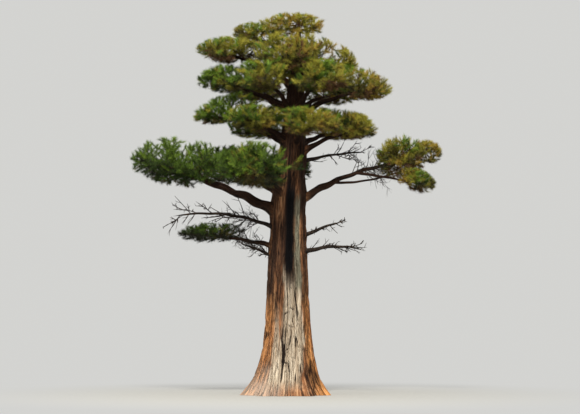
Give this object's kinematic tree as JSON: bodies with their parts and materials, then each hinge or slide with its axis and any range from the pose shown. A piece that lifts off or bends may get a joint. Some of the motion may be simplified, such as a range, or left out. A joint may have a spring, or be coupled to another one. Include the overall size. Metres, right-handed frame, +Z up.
{
  "type": "pine tree",
  "caption": "Old mountain pine with a stout, flared trunk, flat tiered pads of needles on spreading boughs, and bare dead limbs low on the trunk.",
  "frame": {"origin": "centre of the flat cut under the trunk, at ground level", "axes": "+Z up along the trunk, +X to the right in the picture, and -Y towards the picture's camera"},
  "size_m": [7.3767, 4.7967, 8.9267],
  "materials": {
    "bark": "rough, in long strips",
    "dead_wood": "weathered",
    "needles": "matte"
  },
  "bodies": {
    "root": {"bough_left_back": "bark", "bough_left_front": "bark", "bough_left_outer": "bark", "bough_low_back": "bark", "bough_lower_back_left": "bark", "bough_lower_back_right": "bark", "bough_lower_front": "bark", "bough_lower_front_left": "bark", "bough_lower_left": "bark", "bough_lower_right": "bark", "bough_middle_back_left": "bark", "bough_middle_back_right": "bark", "bough_middle_front_left": "bark", "bough_middle_front_right": "bark", "bough_middle_left": "bark", "bough_middle_right": "bark", "bough_small_left": "bark", "bough_top_left": "bark", "bough_tuft_lower": "bark", "bough_tuft_outer": "bark", "bough_tuft_upper": "bark", "bough_upper_back": "bark", "bough_upper_front": "bark", "bough_upper_left": "bark", "bough_upper_right": "bark", "dead_left_lower": "dead_wood", "dead_left_upper": "dead_wood", "dead_right_high": "dead_wood", "dead_right_lower": "dead_wood", "dead_right_upper": "dead_wood", "foliage_crown_top": "needles", "foliage_left_back": "needles", "foliage_left_front": "needles", "foliage_left_outer": "needles", "foliage_low_back": "needles", "foliage_lower_back_left": "needles", "foliage_lower_back_right": "needles", "foliage_lower_front": "needles", "foliage_lower_front_left": "needles", "foliage_lower_left": "needles", "foliage_lower_right": "needles", "foliage_middle_back_left": "needles", "foliage_middle_back_right": "needles", "foliage_middle_front_left": "needles", "foliage_middle_front_right": "needles", "foliage_middle_left": "needles", "foliage_middle_right": "needles", "foliage_small_left": "needles", "foliage_top_left": "needles", "foliage_tuft_lower": "needles", "foliage_tuft_outer": "needles", "foliage_tuft_upper": "needles", "foliage_upper_back": "needles", "foliage_upper_front": "needles", "foliage_upper_left": "needles", "foliage_upper_right": "needles", "trunk": "bark"}
  },
  "joints": []
}
